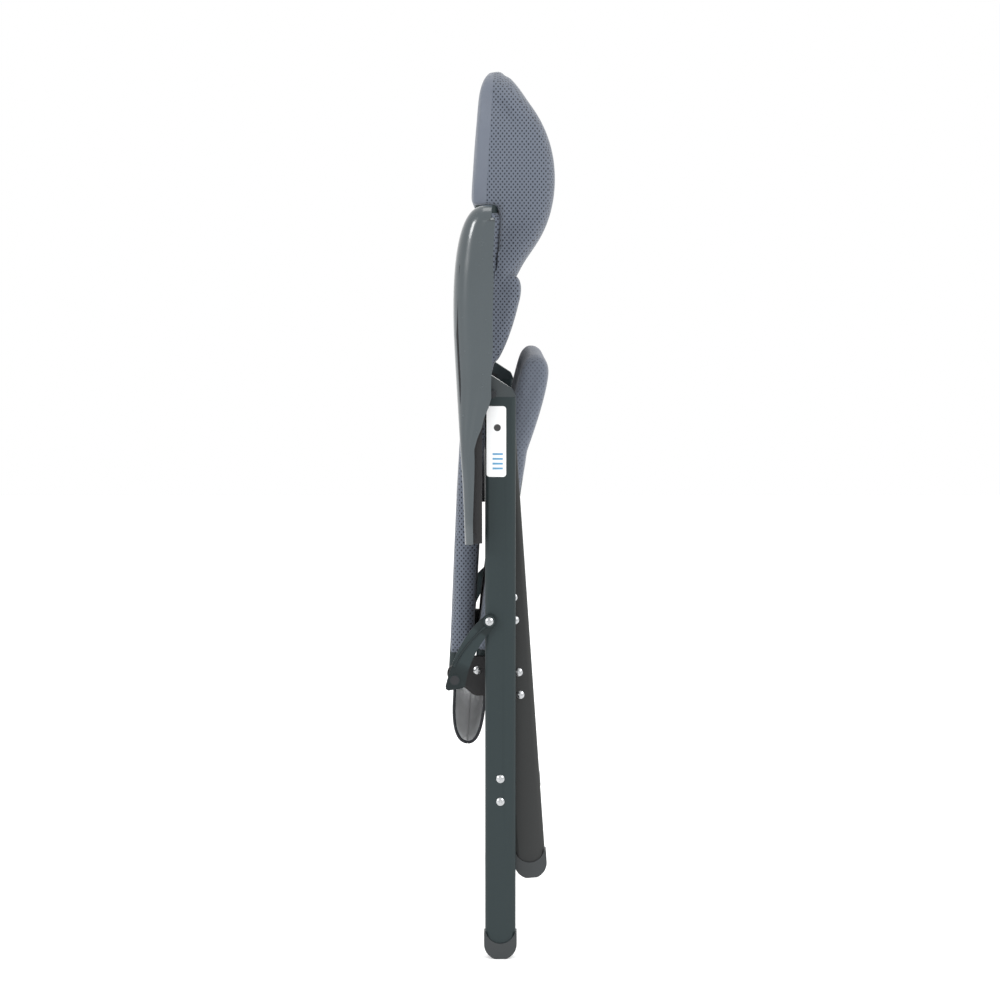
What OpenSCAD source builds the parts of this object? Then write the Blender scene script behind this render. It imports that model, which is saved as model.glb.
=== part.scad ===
// Folding reclining camp chair, shown folded flat and standing on its rear feet.
// +Z is up and +X is the side the sitter faces, so "left" parts lie towards +Y.
// Every left part is modelled once, and the right one is its mirror image.

/* [Leg tubes] */
// Depth of a leg tube, front to back
leg_d = 40; // [38:1:40]
// Thickness of a leg tube, side to side
leg_t = 20; // [18:1:20]
// Corner radius of a leg tube
leg_r = 6; // [4:0.5:7]
// Wall thickness of every metal tube
wall = 1.5; // [1.2:0.1:1.8]

/* [Outer legs] */
// Distance from the middle of the chair to the middle of an outer leg
outer_leg_y = 298; // [298:1:300]
// Height of the seam under the outer leg's top cap
outer_leg_top = 738; // [736:1:740]
// Height of the bolt where the legs cross
pivot_z = 690; // [688:1:692]
// Height of the crossbar between the outer legs
outer_bar_z = 223; // [180:1:240]

/* [Inner legs] */
// Distance from the middle of the chair to the middle of an inner leg
inner_leg_y = 274; // [272:1:274]
// Lean of the inner legs when the chair is folded, in degrees
inner_lean = 4; // [3.8:0.1:4.2]
// Length of an inner leg from the crossing bolt to the floor
inner_leg_len = 589; // [580:1:592]
// Length of an inner leg above the crossing bolt
inner_leg_over = 22; // [18:1:24]
// Distance from the crossing bolt down to the upper crossbar
inner_bar_up = 232; // [225:1:240]
// Distance from the crossing bolt down to the lower crossbar
inner_bar_low = 331; // [325:1:340]

/* [Seat and backrest] */
// Width over the upholstery
pad_w = 504; // [500:1:506]
// Depth of the flat-oval tube in the seat and backrest frames
oval_d = 30; // [28:1:30]
// Thickness of that tube, side to side
oval_t = 15; // [14:1:16]
// Distance from the middle of the chair to the middle of that tube
oval_y = 236; // [235:1:237]
// Lean of the rear half of the folded seat, in degrees
seat_lean = 7.6; // [7.4:0.1:7.8]
// Extra lean of the front half of the seat, in degrees
seat_bend = 7.1; // [6.8:0.1:7.4]
// Lean of the folded backrest, in degrees
back_lean = 3.3; // [3.1:0.1:3.5]
// Length of a backrest tube from the seat hinge to the top bow's bend
back_len = 697; // [680:1:705]

/* [Armrests] */
// Distance from the middle of the chair to an armrest's outer face
arm_out = 334; // [334:1:336]
// Width of an armrest
arm_w = 58; // [57:1:59]
// Wall thickness of an armrest
arm_wall = 3; // [2.5:0.1:3.2]
// Distance between the notches under an armrest
notch_pitch = 11.6; // [11:0.1:12]

/* [Fasteners] */
// Radius of the hinge bolts and pins
bolt_r = 4; // [3.5:0.1:4.2]
// Radius of the screw shanks
screw_r = 2.2; // [2:0.1:2.5]
// Radius of the screw heads
head_r = 5.3; // [5:0.1:5.6]
// Radial gap of a turning fit
run_gap = 0.06; // [0.03:0.01:0.1]

/* [Hidden] */
$fn = 64;
clear = 0.3;

// Feet: a half-round cap pushed over the end of a leg tube
foot_r = leg_d / 2 + 1.5;
foot_t = leg_t + 4;
foot_h = 35;
foot_floor = foot_r - 1.5;
foot_sole = 1.2;
foot_scoop_r = 19.7;
foot_scoop_z = 40.2;

// Top cap of an outer leg, which holds the pin that the armrest hooks onto
cap_plug = 32;
rack_pin_x = -10;
rack_pin_z = 742;
rack_pin_r = 5;
cap_edge = [
    [-leg_d / 2, outer_leg_top], [leg_d / 2, outer_leg_top], [leg_d / 2 - 1, outer_leg_top + 3],
    [leg_d / 2 - 4, outer_leg_top + 10], [-10, outer_leg_top + 27], [-15, outer_leg_top + 29],
    [-leg_d / 2 + 1, outer_leg_top + 27], [-leg_d / 2, outer_leg_top + 24]
];

// Crossbars: flat-oval tubes with a plug in each end
bar_d = 13;
bar_h = 40;
bar_screw_dz = 15;
bar_plug = 30;
inner_bar_x = 2;

// Half-moon links, outside the outer legs
link_x = -14.4;
link_z = 446;
link_in = outer_leg_y + leg_t / 2 + 1.5;
link_t = 4;
link_boss_t = 2;
link_screw_r = 3;

// Seat hinge: the line on which links, seat and backrest turn
hinge_x = -59.5;
hinge_z = 369;
bracket_in = oval_y + oval_t / 2 + 0.1;
bracket_out = bracket_in + 12.4;
bracket_screw_x = -30.5;
bracket_screw_z = 373.5;

// Seat: the rail's line passes through the seat pivot
seat_pivot_x = 8;
seat_pivot_z = 579;
seat_rail_tail = 229;
seat_rail_fore = 101;
seat_rail_tip = 81;
front_rail_gap = 2;
joiner_length = 30;
joiner_d = 18;
front_bar_r = 12;
front_bar_x = 45;
front_bar_z = 770;
rear_bar_r = 8;
rear_bar_x = -15.7;
rear_bar_z = 406;
stud_r = 7;

// Backrest: the tube's middle line at the height of the seat hinge
back_x = -53.8;
back_tail = 8;
bow_r = 60;
back_bar_r = 8;
back_bar_z = 44;

// Armrests turn on bolts in the backrest tubes
arm_x = -37;
arm_z = 557;
arm_lean = 2.9;
arm_in = arm_out - arm_w;
rack_in = outer_leg_y + leg_t / 2 + 4;
rack_out = arm_out - 10;
rack_start = -9;
rack_end = 352;
notch_first = 255;
notch_count = 8;
notch_r = 5.4;
notch_depth = 29.5;
arm_collar_r = 5.5;
rack_screw_at = [[-1, 40], [-1, 110], [14, 200], [14, 330]];

half_w = pad_w / 2;
tube_gap = 0.7;

FRAME = [0.27, 0.30, 0.32];
INNER = [0.25, 0.26, 0.27];
PLASTIC = [0.28, 0.31, 0.33];
RUBBER = [0.23, 0.25, 0.26];
BLACK = [0.10, 0.10, 0.11];
STEEL = [0.80, 0.81, 0.82];
FABRIC = [0.41, 0.44, 0.50];
LINING = [0.62, 0.63, 0.64];

// ---------- shared shapes ----------

// Points after a, up to and including c, of the curve that b pulls on
function curve(a, b, c, n) = [for (i = [1 : n]) let (t = i / n)
    (1 - t) * (1 - t) * a + 2 * t * (1 - t) * b + t * t * c];

module on_side(side) {
    if (side > 0) children();
    else mirror([0, 1, 0]) children();
}

module both_sides() {
    for (side = [-1, 1]) on_side(side) children();
}

// Round bar across the chair, from y0 to y1
module rod(x, z, r, y0, y1) {
    translate([x, y0, z]) rotate([-90, 0, 0]) cylinder(h = y1 - y0, r = r);
}

// Side outline, drawn in X and Z, made solid from y0 to y1
module slab(y0, y1) {
    translate([0, y1, 0]) rotate([90, 0, 0]) linear_extrude(y1 - y0) children();
}

module rounded_rect(d, t, r) {
    square([d - 2 * r, t], center = true);
    square([d, t - 2 * r], center = true);
    for (sx = [-1, 1], sy = [-1, 1])
        translate([sx * (d / 2 - r), sy * (t / 2 - r)]) circle(r);
}

module tube_section(d, t, r) {
    difference() {
        rounded_rect(d, t, r);
        rounded_rect(d - 2 * wall, t - 2 * wall, r - wall);
    }
}

// Pan-head screw: the head stands out from y_face, the shank runs in to y_tip
module screw(x, z, y_face, y_tip, r = screw_r) {
    head_h = 2.6;
    slot = [6.4, 1.2, 1.3];
    rod(x, z, r, y_tip, y_face);
    difference() {
        intersection() {
            rod(x, z, head_r, y_face, y_face + head_h);
            translate([x, y_face - 5.6, z]) sphere(r = 8.2);
        }
        for (turn = [20, 110])
            translate([x, y_face + head_h, z]) rotate([0, turn, 0])
                cube([slot.x, 2 * slot.z, slot.y], center = true);
    }
}

module foot() {
    difference() {
        slab(-foot_t / 2, foot_t / 2) difference() {
            union() {
                translate([0, foot_r - foot_sole]) circle(foot_r);
                translate([-foot_r, foot_r - foot_sole]) square([2 * foot_r, foot_h - foot_r + foot_sole]);
            }
            // the flat sole
            translate([-foot_r, -foot_r]) square([2 * foot_r, foot_r]);
        }
        translate([0, 0, foot_floor]) linear_extrude(foot_h)
            rounded_rect(leg_d + 0.1, leg_t + 0.1, leg_r + 0.05);
        slab(-foot_t, foot_t) translate([0, foot_scoop_z]) circle(foot_scoop_r);
    }
}

// ---------- legs ----------

module inner_frame() {
    translate([0, 0, pivot_z]) rotate([0, -inner_lean, 0]) children();
}

module leg_pivot_bolt(side) {
    color(STEEL) on_side(side) {
        inner_face = inner_leg_y - leg_t / 2;
        rod(0, pivot_z, bolt_r, inner_face - 0.2, outer_leg_y + leg_t / 2 - 0.3);
        rod(0, pivot_z, 2 * bolt_r, inner_face - 2.2, inner_face - 0.2);
    }
}

module leg_pivot_washers() {
    color(BLACK) both_sides() difference() {
        y0 = inner_leg_y + leg_t / 2 + 0.1;
        y1 = outer_leg_y - leg_t / 2 - 0.1;
        rod(0, pivot_z, 10, y0, y1);
        rod(0, pivot_z, bolt_r, y0 - 1, y1 + 1);
    }
}

module outer_leg(side) {
    y0 = outer_leg_y - leg_t;
    y1 = outer_leg_y + leg_t;
    color(FRAME) on_side(side) difference() {
        translate([0, outer_leg_y, foot_floor]) linear_extrude(outer_leg_top - foot_floor)
            tube_section(leg_d, leg_t, leg_r);
        rod(0, pivot_z, bolt_r + run_gap, y0, y1);
        rod(link_x, link_z, link_screw_r, outer_leg_y, y1);
        rod(rack_pin_x, rack_pin_z, rack_pin_r + 0.3, y0, y1);
        for (dz = [-bar_screw_dz, bar_screw_dz]) rod(0, outer_bar_z + dz, screw_r, y0, y1);
    }
}

module outer_leg_cap(side) {
    color(PLASTIC) on_side(side) difference() {
        union() {
            slab(outer_leg_y - leg_t / 2, outer_leg_y + leg_t / 2) polygon(cap_edge);
            translate([0, outer_leg_y, outer_leg_top - cap_plug]) linear_extrude(cap_plug)
                rounded_rect(leg_d - 2 * wall - 0.2, leg_t - 2 * wall - 0.2, leg_r - wall);
        }
        rod(rack_pin_x, rack_pin_z, rack_pin_r, outer_leg_y - leg_t, outer_leg_y + leg_t);
    }
}

module rack_pin(side) {
    color(STEEL) on_side(side)
        rod(rack_pin_x, rack_pin_z, rack_pin_r, outer_leg_y - leg_t / 2 - 1, rack_out + 2);
}

module outer_foot(side) {
    color(RUBBER) on_side(side) translate([0, outer_leg_y, 0]) foot();
}

module crossbar(length) {
    rotate([90, 0, 0]) linear_extrude(length, center = true)
        tube_section(bar_d, bar_h, bar_d / 2 - 0.2);
}

module crossbar_plug(y_end) {
    fit = 0.2;
    translate([0, y_end - bar_plug / 2, 0]) rotate([90, 0, 0])
        difference() {
            linear_extrude(bar_plug, center = true)
                rounded_rect(bar_d - 2 * wall - fit, bar_h - 2 * wall - fit, bar_d / 2 - wall - 0.5);
            for (dz = [-bar_screw_dz, bar_screw_dz])
                translate([0, dz, -bar_plug]) cylinder(h = 2 * bar_plug, r = screw_r);
        }
}

module outer_crossbar() {
    color(FRAME) translate([0, 0, outer_bar_z]) crossbar(2 * outer_leg_y - leg_t);
}

module outer_crossbar_plugs() {
    color(BLACK) both_sides() translate([0, 0, outer_bar_z]) crossbar_plug(outer_leg_y - leg_t / 2);
}

module outer_crossbar_screws() {
    color(STEEL) both_sides() for (dz = [-bar_screw_dz, bar_screw_dz])
        screw(0, outer_bar_z + dz, outer_leg_y + leg_t / 2, outer_leg_y - leg_t / 2 - 20);
}

module inner_leg(side) {
    y0 = inner_leg_y - leg_t;
    y1 = inner_leg_y + leg_t;
    color(INNER) on_side(side) inner_frame() difference() {
        translate([0, inner_leg_y, foot_floor - inner_leg_len])
            linear_extrude(inner_leg_len - foot_floor + inner_leg_over)
                tube_section(leg_d, leg_t, leg_r);
        rod(0, 0, bolt_r + run_gap, y0, y1);
        for (drop = [inner_bar_up, inner_bar_low], dz = [-bar_screw_dz, bar_screw_dz])
            rod(inner_bar_x, dz - drop, screw_r, y0, y1);
    }
}

module inner_leg_plug(side) {
    color(BLACK) on_side(side) inner_frame() translate([0, inner_leg_y, inner_leg_over]) {
        linear_extrude(2) rounded_rect(leg_d - 1, leg_t - 1, leg_r - 0.5);
        translate([0, 0, -12]) linear_extrude(12)
            rounded_rect(leg_d - 2 * wall - 0.2, leg_t - 2 * wall - 0.2, leg_r - wall);
    }
}

module inner_foot(side) {
    color(RUBBER) on_side(side) inner_frame() translate([0, inner_leg_y, -inner_leg_len]) foot();
}

module inner_crossbar(drop) {
    color(INNER) inner_frame() translate([inner_bar_x, 0, -drop])
        crossbar(2 * inner_leg_y - leg_t);
}

module inner_crossbar_plugs() {
    color(BLACK) both_sides() inner_frame() for (drop = [inner_bar_up, inner_bar_low])
        translate([inner_bar_x, 0, -drop]) crossbar_plug(inner_leg_y - leg_t / 2);
}

module inner_crossbar_screws() {
    color(STEEL) both_sides() inner_frame()
        for (drop = [inner_bar_up, inner_bar_low], dz = [-bar_screw_dz, bar_screw_dz])
            screw(inner_bar_x, dz - drop, inner_leg_y + leg_t / 2, inner_leg_y - leg_t / 2 - 20);
}

// ---------- links and seat hinge ----------

module half_moon_link(side) {
    rear_edge = curve([-21, 452], [-56, 424], [-71.5, 361], 14);
    front_edge = curve([-46, 360], [-40, 404], [-8, 438], 14);
    link_out = link_in + link_t;
    color(FRAME) on_side(side) difference() {
        union() {
            slab(link_in, link_out) {
                polygon(concat([[-21, 452]], rear_edge, [[-71, 357], [-68, 355], [-50, 358], [-46, 360]],
                    front_edge));
                translate([link_x, link_z]) circle(9);
            }
            rod(link_x, link_z, 8, link_in - 1.2, link_out + link_boss_t);
            rod(hinge_x, hinge_z, 7.5, link_in, link_out + 0.6);
        }
        rod(link_x, link_z, link_screw_r + run_gap, link_in - 5, link_out + 5);
        rod(hinge_x, hinge_z, bolt_r + run_gap, link_in - 5, link_out + 5);
    }
}

module link_screws() {
    color(STEEL) both_sides()
        screw(link_x, link_z, link_in + link_t + link_boss_t + clear, outer_leg_y + 4, link_screw_r);
}

module hinge_pin(side) {
    link_out = link_in + link_t;
    color(STEEL) on_side(side) {
        rod(hinge_x, hinge_z, bolt_r, oval_y - oval_t / 2 + 2, link_out + 0.8);
        rod(hinge_x, hinge_z, 8, bracket_out + clear, link_in - clear);
        rod(hinge_x, hinge_z, 6, link_out + 0.8, link_out + 1.8);
    }
}

module hinge_bracket(side) {
    plate = [[-62, 361], [-52, 354], [-36, 341], [-31, 339.5], [-19, 339.5], [-16.5, 342],
        [-16, 389], [-18, 391.5], [-37, 391.5], [-40, 389], [-49, 379], [-62, 379]];
    color(BLACK) on_side(side) difference() {
        union() {
            slab(bracket_in, bracket_out) {
                polygon(plate);
                translate([hinge_x, hinge_z]) circle(11);
            }
            slab(oval_y - oval_t / 2, bracket_in)
                polygon([[-37, 344.5], [-31, 339.5], [-19, 339.5], [-10, 343], [-10, 346], [-36, 349]]);
        }
        rod(hinge_x, hinge_z, bolt_r + run_gap, bracket_in - 5, bracket_out + 5);
        rod(bracket_screw_x, bracket_screw_z, screw_r, bracket_in - 5, bracket_out + 5);
    }
}

module bracket_screws() {
    color(STEEL) both_sides()
        screw(bracket_screw_x, bracket_screw_z, bracket_out, oval_y - 2);
}

// ---------- seat ----------

module oval_outline(grow) {
    rounded_rect(oval_d + 2 * grow, oval_t + 2 * grow, oval_t / 2 - 0.2 + grow);
}

// Two straight runs that meet in a mitre, the front one bent down for the sitter's knees
module rail_path(longer = 0) {
    overlap = 20;
    box = [200, 200, 600];
    translate([seat_pivot_x, oval_y, seat_pivot_z]) rotate([0, seat_lean, 0]) {
        intersection() {
            translate([0, 0, -seat_rail_tail - longer])
                linear_extrude(seat_rail_tail + longer + seat_rail_fore + overlap) children();
            translate([0, 0, seat_rail_fore]) rotate([0, seat_bend / 2, 0])
                translate([-box.x / 2, -box.y / 2, -box.z]) cube(box);
        }
        translate([0, 0, seat_rail_fore]) rotate([0, seat_bend, 0]) intersection() {
            translate([0, 0, -overlap]) linear_extrude(overlap + seat_rail_tip + longer) children();
            rotate([0, -seat_bend / 2, 0]) translate([-box.x / 2, -box.y / 2, 0]) cube(box);
        }
    }
}

// The sleeve that the rails fill in the seat cloth; its twelve-sided section mitres cleanly
module seat_rail_solid(grow, longer = 0) {
    rail_path(longer) oval_outline(grow, $fn = 12);
}

module rail_frame() {
    translate([seat_pivot_x, oval_y, seat_pivot_z]) rotate([0, seat_lean, 0]) children();
}

module seat_rail(side) {
    color(FRAME) on_side(side) difference() {
        rail_frame() translate([0, 0, -seat_rail_tail])
            linear_extrude(seat_rail_tail + seat_rail_fore) tube_section(oval_d, oval_t, oval_t / 2 - 0.2);
        rod(bracket_screw_x, bracket_screw_z, screw_r, oval_y, oval_y + oval_t);
        rod(seat_pivot_x, seat_pivot_z, bolt_r, oval_y, oval_y + oval_t);
    }
}

// The front run starts a little past the bend, clear of the rear run's square end
module seat_front_rail(side) {
    color(FRAME) on_side(side) rail_frame() translate([0, 0, seat_rail_fore]) rotate([0, seat_bend, 0])
        translate([0, 0, front_rail_gap]) linear_extrude(seat_rail_tip - front_rail_gap)
            tube_section(oval_d, oval_t, oval_t / 2 - 0.2);
}

// Straight plugs that join the two runs inside the bend
module seat_rail_joiners() {
    color(BLACK) both_sides() rail_frame() translate([0, 0, seat_rail_fore]) rotate([0, seat_bend / 2, 0])
        translate([0, 0, -joiner_length / 2]) linear_extrude(joiner_length)
            square([joiner_d, oval_t - 2 * wall - 0.4], center = true);
}

module seat_front_bar() {
    end = oval_y + oval_t / 2;
    color(FRAME) difference() {
        rod(front_bar_x, front_bar_z, front_bar_r, -end, end);
        rod(front_bar_x, front_bar_z, front_bar_r - wall, -end - 1, end + 1);
    }
}

module seat_rear_bar() {
    end = oval_y - oval_t / 2;
    color(FRAME) rod(rear_bar_x, rear_bar_z, rear_bar_r, -end, end);
}

module seat_pivot_studs() {
    face = oval_y + oval_t / 2;
    color(STEEL) both_sides() {
        rod(seat_pivot_x, seat_pivot_z, bolt_r, face - 4, face);
        rod(seat_pivot_x, seat_pivot_z, stud_r, face, inner_leg_y - leg_t / 2 - 0.5);
    }
}

module seat_pad() {
    rear_half = 16;
    sitting = concat(
        [[-34.2, 394], [-8.8, 584], [4, 672]],
        curve([4, 672], [14, 728], [28, 775], 6),
        curve([28, 775], [33, 792], [47, 792], 6));
    under = concat(
        curve([47, 792], [66, 789], [66, 769], 6),
        curve([66, 769], [60, 728], [36, 664], 6),
        [[23.2, 580], [-1.8, 394]]);
    color(FABRIC) difference() {
        slab(-half_w, half_w) polygon(concat(sitting, under));
        both_sides() seat_rail_solid(tube_gap);
        rod(front_bar_x, front_bar_z, front_bar_r + tube_gap, -oval_y - oval_t / 2 - tube_gap,
            oval_y + oval_t / 2 + tube_gap);
        rod(rear_bar_x, rear_bar_z, rear_bar_r + tube_gap, -oval_y, oval_y);
        both_sides() rod(seat_pivot_x, seat_pivot_z, stud_r + tube_gap, oval_y, half_w + 1);
    }
}

// Cloth that carries on from the backrest round under the hinge to the seat
module fabric_loop() {
    loop_half = 222;
    skin = 3;
    color(LINING) slab(-loop_half, loop_half) difference() {
        union() {
            translate([-42, 306]) circle(19);
            polygon([[-61, 306], [-23, 306], [-13, 391], [-62, 391]]);
        }
        translate([-42, 306]) circle(19 - skin);
        polygon([[-61 + skin, 306], [-23 - skin, 306], [-13 - skin, 392], [-62 + skin, 392]]);
    }
}

// ---------- backrest ----------

module back_frame() {
    translate([back_x, 0, hinge_z]) rotate([0, back_lean, 0]) children();
}

module back_tube_path() {
    back_frame() translate([0, oval_y, -back_tail]) linear_extrude(back_len + back_tail) children();
}

module bow_path() {
    back_frame() {
        both_sides() translate([0, oval_y - bow_r, back_len]) rotate([90, 0, 90])
            rotate_extrude(angle = 90) translate([bow_r, 0]) rotate(90) children();
        translate([0, oval_y - bow_r, back_len + bow_r]) rotate([90, 0, 0])
            linear_extrude(2 * (oval_y - bow_r)) children();
    }
}

module backrest_tube(side) {
    color(FRAME) on_side(side) difference() {
        back_tube_path() tube_section(oval_d, oval_t, oval_t / 2 - 0.2);
        rod(hinge_x, hinge_z, bolt_r + run_gap, oval_y, oval_y + oval_t);
        rod(arm_x, arm_z, bolt_r + run_gap, oval_y, oval_y + oval_t);
    }
}

module backrest_top_bow() {
    color(FRAME) bow_path() tube_section(oval_d, oval_t, oval_t / 2 - 0.2);
}

module backrest_lower_bar() {
    end = oval_y - oval_t / 2;
    color(FRAME) back_frame() rod(0, back_bar_z, back_bar_r, -end, end);
}

module backrest_frame_space() {
    both_sides() back_tube_path() oval_outline(tube_gap);
    bow_path() oval_outline(tube_gap);
    back_frame() rod(0, back_bar_z, back_bar_r + tube_gap, -oval_y, oval_y);
}

module backrest_pad() {
    rear = [[-20, 982], [-36.5, 982], [-60, 600], [-68.2, 397]];
    front = concat(
        [[-35.8, 397], [-22, 640], [-10, 770]],
        curve([-10, 770], [12, 800], [25, 856], 6),
        curve([25, 856], [37, 889], [19, 900], 6),
        [[-7, 902], [-3, 982]]);
    color(FABRIC) difference() {
        slab(-half_w, half_w) polygon(concat(rear, front));
        backrest_frame_space();
        both_sides() rod(arm_x, arm_z, 7, oval_y, half_w + 1);
    }
}

module headrest_pad() {
    corner_r = 80;
    top = 1160;
    low = 906;
    side_view = concat(
        [[-1, 986], [-5, 907]],
        curve([-5, 907], [26, 903], [46, 938], 6),
        curve([46, 938], [72, 973], [71.5, 1024], 8),
        curve([71.5, 1024], [71, 1078], [36, 1122], 8),
        curve([36, 1122], [14, 1158], [-5, 1160], 6),
        curve([-5, 1160], [-24, 1156], [-28.5, 1128], 6),
        [[-39.5, 986]]);
    color(FABRIC) difference() {
        intersection() {
            slab(-half_w, half_w) polygon(side_view);
            translate([0, 0, (top + low) / 2 - corner_r]) rotate([90, 0, 90])
                linear_extrude(300, center = true)
                    rounded_rect(pad_w, top - low + 2 * corner_r, corner_r);
        }
        backrest_frame_space();
    }
}

// ---------- armrests ----------

module arm_frame() {
    translate([arm_x, 0, arm_z]) rotate([0, -arm_lean, 0]) children();
}

// The line of the top face, from the hinge end to the front tip
function arm_top_line() = concat(
    [[-9.2, -9], [-8.2, 71]],
    curve([-8.2, 71], [-10.5, 190], [-10.2, 262], 8),
    curve([-10.2, 262], [-8, 390], [24, 424], 12));

module armrest(side) {
    outer_edge = concat(arm_top_line(),
        curve([24, 424], [36, 432], [52, 428], 5),
        curve([52, 428], [45, 345], [40.5, 262], 6),
        [[37, 206], [34.6, 182]],
        curve([34.6, 182], [32, 160], [18, 137], 6),
        [[8.6, 131], [1.4, -9]]);
    inner_edge = concat(
        [[-9.2 + arm_wall, -20], [-8.2 + arm_wall, 71]],
        curve([-8.2 + arm_wall, 71], [-10.5 + arm_wall, 190], [-10.2 + arm_wall, 262], 8),
        curve([-10.2 + arm_wall, 262], [-8 + arm_wall, 386], [26, 420], 12),
        [[60, 424], [60, -20]]);
    color(PLASTIC) on_side(side) arm_frame() difference() {
        slab(arm_in, arm_out) polygon(outer_edge);
        slab(arm_in + arm_wall, arm_out - arm_wall) polygon(inner_edge);
        // the inner skirt is shallow, clear of the inner leg
        slab(arm_in - 1, arm_in + arm_wall + 0.1) polygon([[14, -20], [60, -20], [60, 300], [24, 300], [14, 200]]);
        // the hinge end is narrower
        translate([-20, 0, 0]) rotate([90, 0, 90]) linear_extrude(80)
            polygon([[arm_in - 1, -10], [arm_in + 26, -10], [arm_in + 26, 96], [arm_in + 2, 150],
                [arm_in - 1, 150]]);
    }
}

module armrest_rack(side) {
    top = 0.2 - 10.2 + arm_wall;
    body = [[top + 1.2, rack_start], [top + 2.2, 71], [top + 0.8, 150], [top + 0.4, 262],
        [top + 9, rack_end], [notch_depth, rack_end], [notch_depth, 175], [20, 135],
        [13, rack_start]];
    color(BLACK) on_side(side) arm_frame() difference() {
        slab(rack_in, rack_out) polygon(body);
        for (i = [0 : notch_count - 1])
            rod(notch_depth, notch_first + i * notch_pitch, notch_r, rack_in - 1, rack_out + 1);
        rod(0, 0, bolt_r + run_gap, rack_in - 1, rack_out + 1);
        for (at = rack_screw_at) rod(at.x, at.y, screw_r, rack_in - 1, rack_out + 1);
    }
}

module rack_screws() {
    color(STEEL) both_sides() arm_frame() for (at = rack_screw_at)
        rod(at.x, at.y, screw_r, rack_in + 2, arm_out - arm_wall);
}

module armrest_bolt(side) {
    color(STEEL) on_side(side) {
        rod(arm_x, arm_z, bolt_r, oval_y - oval_t / 2 + 2, rack_out + 2);
        rod(arm_x, arm_z, arm_collar_r, oval_y + oval_t / 2 + clear, rack_in - clear);
        rod(arm_x, arm_z, arm_collar_r, rack_out + clear, rack_out + 2);
    }
}

leg_pivot_bolt(1);  // leg_pivot_bolt_left
leg_pivot_bolt(-1);  // leg_pivot_bolt_right
leg_pivot_washers();
outer_leg(1);  // outer_leg_left
outer_leg(-1);  // outer_leg_right
outer_leg_cap(1);  // outer_leg_cap_left
outer_leg_cap(-1);  // outer_leg_cap_right
outer_foot(1);  // outer_foot_left
outer_foot(-1);  // outer_foot_right
rack_pin(1);  // rack_pin_left
rack_pin(-1);  // rack_pin_right
outer_crossbar();
outer_crossbar_plugs();
outer_crossbar_screws();
link_screws();
inner_leg(1);  // inner_leg_left
inner_leg(-1);  // inner_leg_right
inner_leg_plug(1);  // inner_leg_plug_left
inner_leg_plug(-1);  // inner_leg_plug_right
inner_foot(1);  // inner_foot_left
inner_foot(-1);  // inner_foot_right
inner_crossbar(inner_bar_up);  // inner_crossbar_upper
inner_crossbar(inner_bar_low);  // inner_crossbar_lower
inner_crossbar_plugs();
inner_crossbar_screws();
half_moon_link(1);  // half_moon_link_left
half_moon_link(-1);  // half_moon_link_right
hinge_pin(1);  // hinge_pin_left
hinge_pin(-1);  // hinge_pin_right
seat_rail(1);  // seat_rail_left
seat_rail(-1);  // seat_rail_right
seat_front_rail(1);  // seat_front_rail_left
seat_front_rail(-1);  // seat_front_rail_right
seat_rail_joiners();
seat_front_bar();
seat_rear_bar();
hinge_bracket(1);  // hinge_bracket_left
hinge_bracket(-1);  // hinge_bracket_right
bracket_screws();
seat_pivot_studs();
seat_pad();
fabric_loop();
backrest_tube(1);  // backrest_tube_left
backrest_tube(-1);  // backrest_tube_right
backrest_top_bow();
backrest_lower_bar();
backrest_pad();
headrest_pad();
armrest_bolt(1);  // armrest_bolt_left
armrest_bolt(-1);  // armrest_bolt_right
armrest(1);  // armrest_left
armrest(-1);  // armrest_right
armrest_rack(1);  // armrest_rack_left
armrest_rack(-1);  // armrest_rack_right
rack_screws();
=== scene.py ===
"""Folding camp chair, folded flat and standing on its rear feet: its looks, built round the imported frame."""

import math

import bmesh
import bpy
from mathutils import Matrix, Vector


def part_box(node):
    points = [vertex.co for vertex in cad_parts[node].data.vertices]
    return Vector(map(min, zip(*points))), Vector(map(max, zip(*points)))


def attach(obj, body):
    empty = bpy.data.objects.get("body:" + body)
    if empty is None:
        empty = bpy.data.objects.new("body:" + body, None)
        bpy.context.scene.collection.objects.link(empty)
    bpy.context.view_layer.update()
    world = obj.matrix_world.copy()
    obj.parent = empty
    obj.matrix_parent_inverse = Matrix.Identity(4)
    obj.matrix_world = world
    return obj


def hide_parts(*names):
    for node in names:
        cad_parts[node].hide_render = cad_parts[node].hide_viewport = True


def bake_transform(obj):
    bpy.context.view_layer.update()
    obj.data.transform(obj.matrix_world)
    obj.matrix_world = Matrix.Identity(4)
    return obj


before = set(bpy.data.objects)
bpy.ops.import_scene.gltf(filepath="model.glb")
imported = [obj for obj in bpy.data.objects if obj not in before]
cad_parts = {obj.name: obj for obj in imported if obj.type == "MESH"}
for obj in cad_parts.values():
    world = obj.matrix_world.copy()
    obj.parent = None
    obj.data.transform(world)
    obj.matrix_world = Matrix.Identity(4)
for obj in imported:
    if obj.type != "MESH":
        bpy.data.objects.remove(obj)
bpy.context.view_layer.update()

# ---------------------------------------------------------------------------
# Camera and studio. A long lens looks straight at the chair's right-hand side
# from the height of the headrest. The floor and the backdrop are plain white.
# ---------------------------------------------------------------------------
LENS_MM = 97.1
camera = bpy.data.objects.new("camera", bpy.data.cameras.new("camera"))
bpy.context.collection.objects.link(camera)
camera.data.lens = LENS_MM
camera.data.sensor_width = 36
camera.data.shift_y = -0.087
camera.location = (-0.0005, -3.808, 0.90)
camera.rotation_euler = (math.radians(90 - 3.0), 0, 0)
bpy.context.scene.camera = camera

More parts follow.
